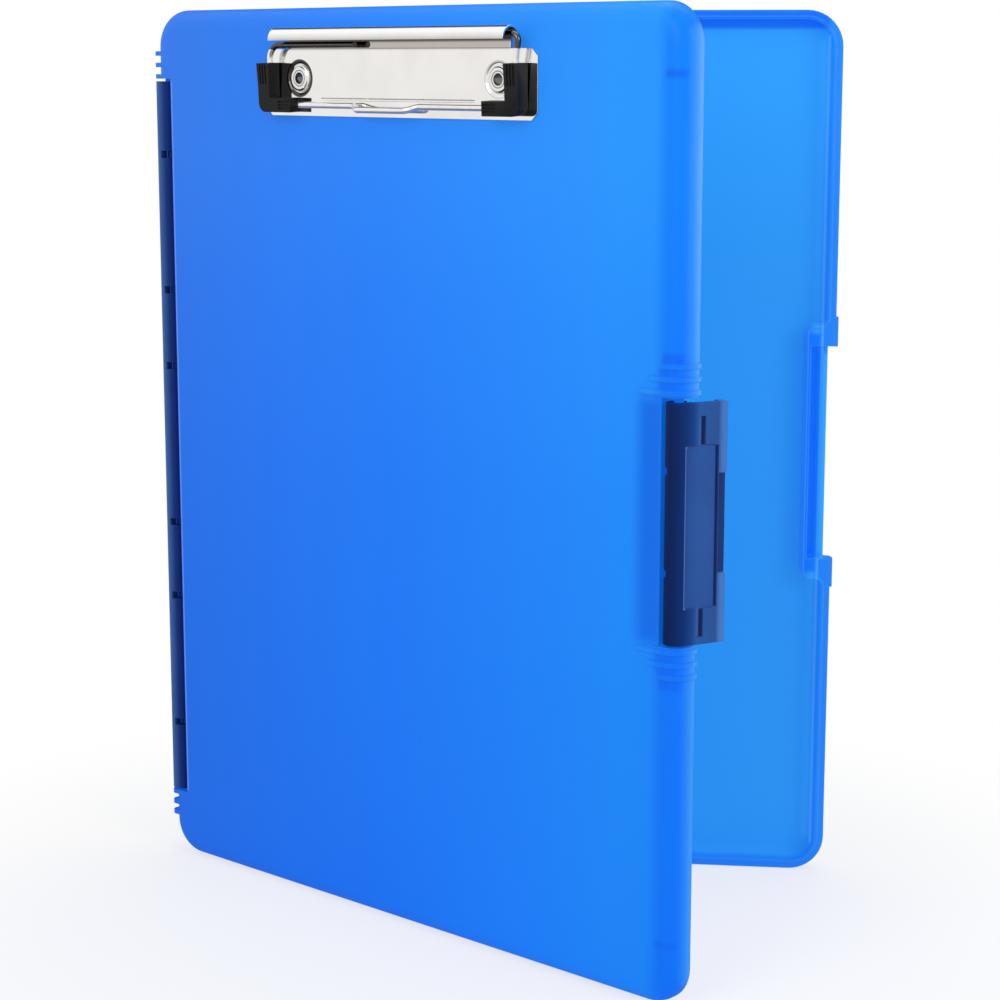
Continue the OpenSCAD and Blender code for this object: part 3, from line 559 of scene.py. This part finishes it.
def pick_faces(piece, test):
    """Selects the faces for which the test on centre and normal holds."""
    bpy.ops.mesh.select_mode(type="FACE")
    bpy.ops.mesh.select_all(action="DESELECT")
    shape = bmesh.from_edit_mesh(piece.data)
    for face in shape.faces:
        if test(face.calc_center_median(), face.normal):
            face.select_set(True)
    bmesh.update_edit_mesh(piece.data)


def pick_edges(piece, test):
    """Selects the edges for which the test on both ends holds."""
    bpy.ops.mesh.select_mode(type="EDGE")
    bpy.ops.mesh.select_all(action="DESELECT")
    shape = bmesh.from_edit_mesh(piece.data)
    for line in shape.edges:
        if test(line.verts[0].co, line.verts[1].co):
            line.select_set(True)
    bmesh.update_edit_mesh(piece.data)


def push_out(move):
    bpy.ops.mesh.extrude_region_move(TRANSFORM_OT_translate={"value": move})


def cut_across(piece, test, point, normal):
    """Cuts the faces that pass the test along a plane, and keeps both sides."""
    pick_faces(piece, test)
    bpy.ops.mesh.bisect(plane_co=point, plane_no=normal)


def add_modifier(piece, kind, **values):
    bpy.ops.object.select_all(action="DESELECT")
    bpy.context.view_layer.objects.active = piece
    piece.select_set(True)
    modifier = piece.modifiers.new(kind.lower(), kind)
    for key, value in values.items():
        setattr(modifier, key, value)
    bpy.ops.object.modifier_apply(modifier=modifier.name)


def take_away(piece, tool):
    """Cuts a helper solid out of a piece and removes the helper."""
    add_modifier(piece, "BOOLEAN", operation="DIFFERENCE", solver="EXACT", object=tool)
    bpy.data.objects.remove(tool)


def soften(piece, width, segments, angle):
    add_modifier(
        piece, "BEVEL", width=width, segments=segments, limit_method="ANGLE",
        angle_limit=math.radians(angle), use_clamp_overlap=True, harden_normals=False,
    )
    bpy.ops.object.shade_smooth_by_angle(angle=math.radians(angle))
    add_modifier(piece, "WEIGHTED_NORMAL", keep_sharp=True)


def settle(piece, place, body, stands_for, mat):
    """Puts a finished piece where it belongs, with its place in its mesh, and gives it its material."""
    bpy.ops.object.select_all(action="DESELECT")
    bpy.context.view_layer.objects.active = piece
    piece.select_set(True)
    piece.matrix_world = place
    bpy.ops.object.transform_apply(location=True, rotation=True, scale=True)
    bpy.ops.object.mode_set(mode="EDIT")
    bpy.ops.mesh.select_all(action="SELECT")
    bpy.ops.mesh.remove_doubles(threshold=0.000005)
    bpy.ops.mesh.normals_make_consistent(inside=False)
    bpy.ops.object.mode_set(mode="OBJECT")
    piece.data.materials.clear()
    piece.data.materials.append(mat)
    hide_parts(stands_for)
    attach(piece, body)


def about_upright(point, angle):
    """Turn about an upright line through a plan point."""
    there = Matrix.Translation((point[0], point[1], 0.0))
    return there @ Matrix.Rotation(angle, 4, "Z") @ there.inverted()


STANDING = Matrix.Translation((-FRAME_X, -FRAME_Y, 0.0))
ON_COVER = STANDING @ about_upright((ROD, ROD), -OPEN / 2) @ about_upright((ROD, -ROD), -OPEN / 2)
COVER_PLAN = ON_COVER @ Matrix.Rotation(math.radians(90), 4, "X")
CLIP_X = 0.1245
RIVET_UP = 0.2937
RIVET_OUT = 0.0459
CURL_UP = 0.3067
CURL_OUT = 0.0125
BAIL_LEAN = math.atan((CURL_OUT - 0.0085 - 0.00295) / 0.022)
RUN_DOWN = math.hypot(0.022, CURL_OUT - 0.0085 - 0.00295)
ON_BAIL = COVER_PLAN @ Matrix.Translation((CLIP_X, CURL_UP, CURL_OUT)) @ Matrix.Rotation(BAIL_LEAN, 4, "X")
LATCH_PIVOT = (0.2406, -0.0044)
ON_LATCH = ON_COVER @ about_upright(LATCH_PIVOT, math.radians(-20.0))
ON_LATCH = ON_LATCH @ Matrix.Translation((LATCH_PIVOT[0], LATCH_PIVOT[1], 0.15875))


# Clip plate: pressed sheet with dished rivet seats and a crease; its neck rolls over into the curl


def clip_plate():
    """Plate in the cover's plan frame: X along the board, Y up it, Z out of its face."""
    low, high, thick = 0.2810, 0.3035, 0.0008
    front = DEPTH + thick
    plate = add_box("clip_plate", (CLIP_X, (low + high) / 2, DEPTH + thick / 2), (0.1246, high - low, thick))
    edit(plate)
    pick_edges(plate, lambda a, b: abs(a.z - b.z) > thick / 2)
    bpy.ops.mesh.bevel(offset=0.0025, segments=1, affect="EDGES")
    # the neck grows out of the upper edge and rolls over the wire
    for x in (CLIP_X - 0.051, CLIP_X + 0.051):
        cut_across(plate, lambda c, n: True, (x, 0.0, 0.0), (1.0, 0.0, 0.0))
    pick_faces(plate, lambda c, n: n.y > 0.9 and abs(c.x - CLIP_X) < 0.05)
    push_out((0.0, CURL_UP - high, 0.0))
    bpy.ops.mesh.spin(
        steps=20, angle=math.radians(-185.0), center=(CLIP_X, CURL_UP, CURL_OUT), axis=(1.0, 0.0, 0.0))
    for side in (-1, 1):
        pick_faces(plate, lambda c, n: n.x * side > 0.9 and (c.y > CURL_UP or c.z > front + 0.001))
        push_out((side * 0.003, 0.0, 0.0))
    leave()
    for x in (CLIP_X - RIVET_OUT, CLIP_X + RIVET_OUT):
        # a dish with a sloped wall under each rivet's head, and the hole for its shank
        dish = add_tube("dish_cutter", (x, RIVET_UP, front), 0.0062, 0.0007, (0.0, 0.0, 0.0), 64)
        edit(dish)
        pick_faces(dish, lambda c, n: n.z < -0.9)
        bpy.ops.transform.resize(value=(0.83, 0.83, 1.0), center_override=(x, RIVET_UP, front))
        leave()
        take_away(plate, dish)
        take_away(plate, add_tube("hole_cutter", (x, RIVET_UP, front), 0.0027, 0.01, (0.0, 0.0, 0.0), 32))
    crease = add_tube(
        "crease_cutter", (CLIP_X, RIVET_UP - 0.007, front + 0.0003), 0.0006, 0.070, (0.0, math.radians(90), 0.0), 16)
    edit(crease)
    for side in (-1, 1):
        pick_faces(crease, lambda c, n: n.x * side > 0.9)
        push_out((side * 0.002, 0.0, 0.0002))
        bpy.ops.transform.resize(value=(1.0, 0.3, 0.3), center_override=(CLIP_X + side * 0.037, RIVET_UP - 0.007, front + 0.0005))
    leave()
    take_away(plate, crease)
    soften(plate, 0.00012, 2, 25)
    return plate


# Corner grips: an L of rubber with a grooved pad on each arm


def corner_grip(name):
    """Grip in the bail's frame: corner at the origin, foot to +X, leg to +Y, front to +Z."""
    grip = add_box(name, (0.0, 0.0, 0.0005), (0.0056, 0.0048, 0.005))
    edit(grip)
    pick_faces(grip, lambda c, n: n.y > 0.9)
    push_out((0.0, 0.0042, 0.0))
    push_out((0.0, 0.0076, 0.0))
    bpy.ops.transform.resize(value=(1.08, 1.0, 1.04), center_override=(0.0004, 0.0142, 0.0005))
    pick_faces(grip, lambda c, n: n.x > 0.9 and c.y < 0.0023)
    push_out((0.0035, 0.0, 0.0))
    push_out((0.0064, 0.0, 0.0))
    bpy.ops.transform.resize(value=(1.0, 1.0, 1.04), center_override=(0.0127, 0.0, 0.0005))
    # the rounded outer corner
    pick_edges(grip, lambda a, b: max(a.x, b.x) < -0.0027 and max(a.y, b.y) < -0.0023)
    bpy.ops.mesh.bevel(offset=0.003, segments=6, affect="EDGES")
    # each pad is set off by a shallow step and carries three grooves along it
    pick_faces(grip, lambda c, n: n.z > 0.9 and c.y > 0.0067)
    bpy.ops.mesh.inset(thickness=0.0005, depth=0.0, use_boundary=True)
    for x in (-0.00165, -0.00095, -0.00035, 0.00035, 0.00095, 0.00165):
        cut_across(grip, lambda c, n: n.z > 0.9 and c.y > 0.0067, (x, 0.0, 0.0), (1.0, 0.0, 0.0))
    pick_faces(grip, lambda c, n: n.z > 0.9 and 0.0072 < c.y < 0.0136 and (
        -0.00165 < c.x < -0.00095 or abs(c.x) < 0.00035 or 0.00095 < c.x < 0.00165))
    push_out((0.0, 0.0, -0.0005))
    pick_faces(grip, lambda c, n: n.z > 0.9 and c.x > 0.0064)
    bpy.ops.mesh.inset(thickness=0.0005, depth=0.0, use_boundary=True)
    for y in (-0.0014, -0.0008, -0.0003, 0.0003, 0.0008, 0.0014):
        cut_across(grip, lambda c, n: n.z > 0.9 and c.x > 0.0064, (0.0, y, 0.0), (0.0, 1.0, 0.0))
    pick_faces(grip, lambda c, n: n.z > 0.9 and 0.0068 < c.x < 0.0122 and (
        -0.0014 < c.y < -0.0008 or abs(c.y) < 0.0003 or 0.0008 < c.y < 0.0014))
    push_out((0.0, 0.0, -0.0005))
    # a small well where the wire comes out of each arm
    for test in (lambda c, n: n.y > 0.9 and c.y > 0.0139, lambda c, n: n.x > 0.9 and c.x > 0.0125):
        pick_faces(grip, test)
        bpy.ops.mesh.inset(thickness=0.0009, depth=-0.0005)
    leave()
    soften(grip, 0.00022, 3, 28)
    return grip


def mirrored(piece, name):
    """Own mesh copy of a piece, mirrored from left to right."""
    bpy.ops.object.select_all(action="DESELECT")
    bpy.context.view_layer.objects.active = piece
    piece.select_set(True)
    bpy.ops.object.duplicate(linked=False)
    other = bpy.context.object
    other.name = name
    other.scale = (-1.0, 1.0, 1.0)
    bpy.ops.object.transform_apply(location=False, rotation=False, scale=True)
    return other


# Latch: a knuckle with a side wall drawn out of it, a hooked lip, a sunk panel and a finger scoop


def snap_latch():
    """Latch in its own frame: pivot at the origin, side wall to +Y, outer face to +X."""
    half = 0.03815
    top = 0.0154
    latch = add_tube("snap_latch", (0.0, 0.0, -0.0004), 0.004, 2 * half, (0.0, 0.0, 0.0), 48)
    edit(latch)
    # the wall rises from the sixth of the knuckle that faces outwards
    pick_faces(latch, lambda c, n: abs(n.z) < 0.1 and 0.0 < math.degrees(math.atan2(c.y, c.x)) < 60.0)
    push_out((0.0, 0.016, 0.0))
    bpy.ops.transform.resize(value=(1.0, 0.0, 1.0), center_override=(0.0, top, 0.0))
    bpy.ops.mesh.select_all(action="SELECT")
    bpy.ops.mesh.dissolve_limited(angle_limit=math.radians(0.5))
    # the lip hooks inwards at the free end of the wall
    cut_across(latch, lambda c, n: n.x < -0.9 and c.y > 0.004, (0.0, top - 0.0024, 0.0), (0.0, 1.0, 0.0))
    pick_faces(latch, lambda c, n: n.x < -0.9 and c.y > top - 0.0024)
    push_out((-0.0022, 0.0, 0.0))
    # panel and grooves sunk into the outer face
    panel_high = top - 0.0036
    panel_low = panel_high - 0.0114
    groove = (panel_low + panel_high) / 2
    middle = -0.0013
    outer = lambda c, n: n.x > 0.99 and c.y > -0.0001
    for y in (panel_low, groove - 0.0013, groove + 0.0013, panel_high):
        cut_across(latch, outer, (0.0, y, 0.0), (0.0, 1.0, 0.0))
    for z in (-0.03485, -0.02585, 0.02585, 0.03485):
        cut_across(latch, outer, (0.0, 0.0, z + middle), (0.0, 0.0, 1.0))

    def sunk(c, n):
        z = abs(c.z - middle)
        inside = z < 0.02585 and panel_low < c.y < panel_high
        return n.x > 0.99 and (inside or z < 0.03485 and abs(c.y - groove) < 0.0013)

    pick_faces(latch, sunk)
    push_out((-0.0006, 0.0, 0.0))

    def panel_corner(a, b):
        flat = abs(a.y - b.y) < 1e-6 and abs(a.z - b.z) < 1e-6
        at_side = min(abs(a.y - panel_low), abs(a.y - panel_high)) < 1e-5
        return flat and at_side and abs(abs(a.z - middle) - 0.02585) < 1e-5

    pick_edges(latch, panel_corner)
    bpy.ops.mesh.bevel(offset=0.0014, segments=4, affect="EDGES")
    leave()
    # scoop with slanted ends in the free edge, bore for the rod, mouth and lug slots
    scoop = add_box("scoop_cutter", (0.0038, top - 0.0012, -0.0004), (0.0024, 0.0044, 0.0341))
    edit(scoop)
    pick_edges(scoop, lambda a, b: max(a.x, b.x) < 0.0027 and max(a.y, b.y) < top - 0.003)
    bpy.ops.transform.translate(value=(0.0017, 0.0, 0.0))
    pick_faces(scoop, lambda c, n: n.y < -0.9)
    bpy.ops.transform.resize(value=(1.0, 1.0, 0.80), center_override=(0.004, top, -0.0004))
    leave()
    take_away(latch, scoop)
    take_away(latch, add_tube("bore_cutter", (0.0, 0.0, 0.0), 0.00166, 0.09, (0.0, 0.0, 0.0), 32))
    take_away(latch, add_box("mouth_cutter", (0.0, 0.004, 0.0), (0.0026, 0.008, 0.09)))
    for z in (-0.0162, 0.0162):
        slot = add_box("slot_cutter", (-0.0042, -0.0008, z), (0.0064, 0.0074, 0.0026))
        edit(slot)
        # the slot is wider below, where the lug ends up when the latch stands open
        pick_edges(slot, lambda a, b: min(a.x, b.x) > -0.0015 and max(a.y, b.y) < -0.004)
        bpy.ops.transform.translate(value=(0.0008, 0.0, 0.0))
        leave()
        take_away(latch, slot)
    soften(latch, 0.00024, 3, 12)
    return latch


# dark of the painted shade and dark reflections on the plating
PAINTED_DARK = (0.030, 0.024, 0.022)
# painted shade in the notches where the lugs sit
NOTCH_SHADE = shade(7, 31, 94)
BRACE_BLUE = shade(2, 104, 242)
LUG_HEIGHTS = [BOARD_H / 2 + side * out for side in (-1, 1) for out in (0.0295, 0.0577, 0.1072)]
# inner braces seen through the cover
cover_marks = [(0.2404, z, 0.0033, half, 0.0010, 0.85, BRACE_BLUE)
               for z, half in ((0.02175, 0.0011), (0.1074, 0.0017), (0.2101, 0.0017), (0.29575, 0.0011))]
# painted shade in the hollow beside the latch
cover_marks.append((0.2325, 0.15875, 0.0045, 0.0385, 0.0030, 0.9, shade(8, 106, 232)))
# painted light that lifts the shade on the recess wall beside the latch
cover_marks.append((0.2376, 0.15875, 0.0010, 0.0392, 0.0006, 1.0, shade(18, 124, 250)))
# darker bands between the guard ribs by the latch
cover_marks += [(0.2392, BOARD_H / 2 + side * out, 0.0034, 0.0010, 0.0008, 0.6, BRACE_BLUE)
                for side in (-1, 1) for out in (0.0428, 0.0470)]
# painted highlight along the edge of the hinge recess
cover_marks.append((0.0101, 0.15875, 0.0003, 0.1335, 0.0002, 0.7, shade(120, 152, 255)))
# lug notches painted dark: painted shade
cover_marks += [(0.0068, z, 0.0029, 0.0020, 0.0002, 1.0, NOTCH_SHADE) for z in LUG_HEIGHTS]
# The cover's colour carries painted light and shade: its hue and depth shift across the board and it darkens towards
# the bottom, it is darker near the free edge where the side wall lies behind, its side wall is painted from dark to
# light between the face and the parting plane, its edges get a painted highlight and a share of it glows as painted
# light
cover_blue = frosted(
    "frosted_blue_cover", ON_COVER,
    [(0.0, shade(54, 122, 236)), (0.03, shade(49, 126, 240)), (0.06, shade(46, 129, 246)),
     (0.12, shade(42, 135, 252)), (0.18, shade(42, 145, 255)), (0.22, shade(39, 152, 255)),
     (0.2335, shade(38, 151, 254)), (0.2385, shade(6, 131, 251)), (0.245, shade(2, 127, 250))],
    [(0.0, (0.33, 0.76, 0.95)), (0.10, (0.37, 0.80, 0.96)), (0.16, (0.50, 0.83, 0.98)),
     (0.22, (0.72, 0.90, 0.99)), (0.27, (1.0, 1.0, 1.0))],
    [(-DEPTH, (1.0, 1.0, 1.0)), (0.0, (0.97, 0.98, 1.0))],
    [(-DEPTH, shade(2, 127, 250)), (-0.0062, shade(8, 130, 251)), (-0.0030, shade(66, 154, 254)),
     (-0.0010, shade(98, 170, 255))],
    cover_marks, shade(70, 150, 255), 0.25, 0.4,
)
tray_marks = [
    # a lighter band on the rim
    (0.2430, 0.15875, 0.0022, 0.1570, 0.0005, 0.5, shade(36, 146, 255)),
    # painted light that lifts the shade on the inner side wall
    (0.2383, 0.15875, 0.0014, 0.1480, 0.0016, 0.85, shade(54, 172, 255)),
    # painted highlight along the rim's inner edge
    (0.2402, 0.15875, 0.0004, 0.1500, 0.0003, 0.8, shade(92, 178, 255)),
    # a darker band along the top rim
    (0.1220, 0.31410, 0.1180, 0.0030, 0.0009, 0.85, shade(12, 112, 248)),
    # bands by the latch's notch
    (0.2368, 0.15850, 0.0027, 0.0440, 0.0010, 1.0, shade(12, 128, 255)),
    (0.2413, 0.15700, 0.0014, 0.0378, 0.0006, 1.0, shade(50, 165, 255)),
]
# lug notches painted dark: painted shade
tray_marks += [(0.0068, z, 0.0029, 0.0020, 0.0002, 1.0, NOTCH_SHADE) for z in LUG_HEIGHTS]
# The tray is darker at its rim by the parting plane; a share of its colour glows as painted light that lifts its shade,
# and its edges get a painted highlight
tray_blue = frosted(
    "frosted_blue_tray", STANDING,
    [(0.0, (0.028, 0.360, 0.95)), (0.2325, (0.030, 0.370, 0.95)), (0.245, (0.026, 0.350, 0.97))],
    [(0.0, (0.96, 0.97, 0.98)), (BOARD_H, (1.0, 1.0, 1.0))],
    [(-0.0010, (0.60, 0.70, 1.0)), (0.0020, (0.62, 0.74, 1.0)), (0.005, (0.96, 0.98, 1.0)), (DEPTH, (1.0, 1.0, 1.0))],
    [(-0.0010, shade(40, 138, 251)), (0.0030, shade(60, 150, 250)), (DEPTH, shade(44, 150, 250))],
    tray_marks, (0.12, 0.44, 1.0), 0.5, 0.45,
)
# Painted light and shade across the spine: lighter towards its outer side, dark towards the recess
spine_blue = solid_plastic(
    "dark_blue_spine", STANDING,
    (-0.006, 0.012, "X", [(-0.0030, shade(74, 108, 166)), (-0.0014, shade(50, 84, 144)), (0.0004, shade(20, 48, 112)), (0.0030, shade(6, 31, 96))]),
    [], (1.15, 1.12, 1.10), shade(40, 74, 150), 0.38, 0.10, 0.05, 0.06, 0.0005,
)
PANEL_LOW, PANEL_HIGH, PANEL_UP = 0.0004, 0.0118, -0.0013
PANEL_MID = (PANEL_LOW + PANEL_HIGH) / 2
# Painted light and shade on the latch: the panel painted lighter, a painted highlight along the panel's edge nearer the
# knuckle, painted shade along its far wall and in the scoop, and grooves painted light on one side and dark on the
# other
latch_painted_shading = [(PANEL_MID, PANEL_UP, (PANEL_HIGH - PANEL_LOW) / 2, 0.0256, 0.0002, 0.8, shade(42, 80, 148)),
               (0.0140, -0.0004, 0.0016, 0.0158, 0.0003, 0.9, shade(6, 34, 96)),
               (PANEL_HIGH, PANEL_UP, 0.00042, 0.0256, 0.0002, 0.95, shade(4, 26, 82)),
               (PANEL_LOW, PANEL_UP, 0.0003, 0.0256, 0.0002, 0.8, shade(92, 126, 192))]
for way in (-1, 1):
    up = PANEL_UP + way * 0.03035
    latch_painted_shading.append((PANEL_MID, up, 0.0013, 0.0045, 0.0002, 0.8, shade(62, 94, 160)))
    latch_painted_shading.append((PANEL_MID + 0.0006, up, 0.0007, 0.0045, 0.0002, 0.95, shade(4, 26, 82)))
# painted light and shade across the latch: dark on the knuckle, lighter towards the free edge of the side wall
latch_blue = solid_plastic(
    "dark_blue_latch", ON_LATCH,
    (-0.006, 0.018, "Y", [(-0.0040, shade(4, 30, 80)), (0.0005, shade(6, 44, 108)), (0.0032, shade(20, 60, 128)),
                          (0.0050, shade(36, 82, 152)), (0.0120, shade(40, 78, 142)), (0.0136, shade(66, 112, 182)),
                          (0.0154, shade(66, 112, 186))]),
    latch_painted_shading, (1.12, 1.10, 1.08), shade(70, 104, 176), 0.36, 0.10, 0.04, 0.07, 0.0003,
)
# Painted reflections and shade on the curl and neck: a grey neck, a white highlight along the tube, a dark line at the
# foot of the neck and a darker band at the height of the curl's axis
curl_painted_reflections = [
    (CLIP_X, 0.3048, 0.0510, 0.0014, 0.0008, 0.9, (0.44, 0.41, 0.38)),
    (CLIP_X, 0.3102, 0.0560, 0.0018, 0.0008, 0.9, (1.0, 0.99, 0.97)),
    (CLIP_X, 0.3036, 0.0510, 0.0002, 0.0002, 0.7, (0.16, 0.14, 0.13)),
    (CLIP_X, CURL_UP, 0.0560, 0.0004, 0.0009, 0.5, (0.28, 0.27, 0.26)),
]
# the dishes about the rivets get painted dark rings, strong on the left and faint on the right: painted dark
# reflections and shade
sheet_chrome = plated(
    "chromed_sheet", (0.84, 0.83, 0.80), 0.05, 0.03, 60.0,
    [(-1, 0.0049, 0.0064, 0.95), (1, 0.0058, 0.0061, 0.35)], 0.00335, curl_painted_reflections)
# the wire is painted dark inside the curl: painted shade
wire_chrome = plated("chromed_wire", (0.86, 0.85, 0.84), 0.08, 0.05, 200.0, (), 0.0034)
# each rivet's hole is painted dark as shade, with a thin painted dark reflection ring about it
rivet_chrome = plated(
    "chromed_rivet", (0.80, 0.79, 0.77), 0.10, 0.06, 300.0,
    [(side, inner, outer, 0.9) for side in (-1, 1) for inner, outer in ((-0.0005, 0.0020), (0.0025, 0.0028))])
grip_rubber = solid_plastic(
    "black_grip_rubber", STANDING,
    (0.0, 0.32, "Z", [(0.28, (0.0030, 0.0026, 0.0028)), (0.30, (0.0042, 0.0038, 0.0040))]),
    [], (1.4, 1.4, 1.4), (0.016, 0.015, 0.016), 0.42, 0.14, 0.10, 0.2, 0.0003, 0.25,
)

dress(["front_shell"], cover_blue)
dress(["back_shell"], tray_blue)
dress(["hinge_spine"], spine_blue)
dress(["latch"], latch_blue)
dress(["clip_base_plate"], sheet_chrome)
dress(["bail_wire"], wire_chrome)
dress(["rivet_left", "rivet_right", "washer_left", "washer_right"], rivet_chrome)
dress(["grip_left", "grip_right"], grip_rubber)

left_grip = corner_grip("corner_grip_left")
right_grip = mirrored(left_grip, "corner_grip_right")
left_place = ON_BAIL @ Matrix.Translation((-0.0584, -RUN_DOWN, 0.0))
right_place = ON_BAIL @ Matrix.Translation((0.0558, -RUN_DOWN, 0.0))
settle(left_grip, left_place, "bail", "grip_left", grip_rubber)
settle(right_grip, right_place, "bail", "grip_right", grip_rubber)
settle(snap_latch(), ON_LATCH, "latch", "latch", latch_blue)
settle(clip_plate(), COVER_PLAN, "cover", "clip_base_plate", sheet_chrome)

make_camera()
make_world()
make_floor()
soft_light("key_left", (-0.9, -1.5, 1.1), (0.0, -0.03, 0.16), 1.1, 11.0)
soft_light("fill_right", (1.3, -1.1, 0.8), (0.03, 0.0, 0.15), 1.0, 9.0)
soft_light("top_soft", (0.1, 0.3, 1.5), (0.0, 0.0, 0.15), 1.2, 6.0)
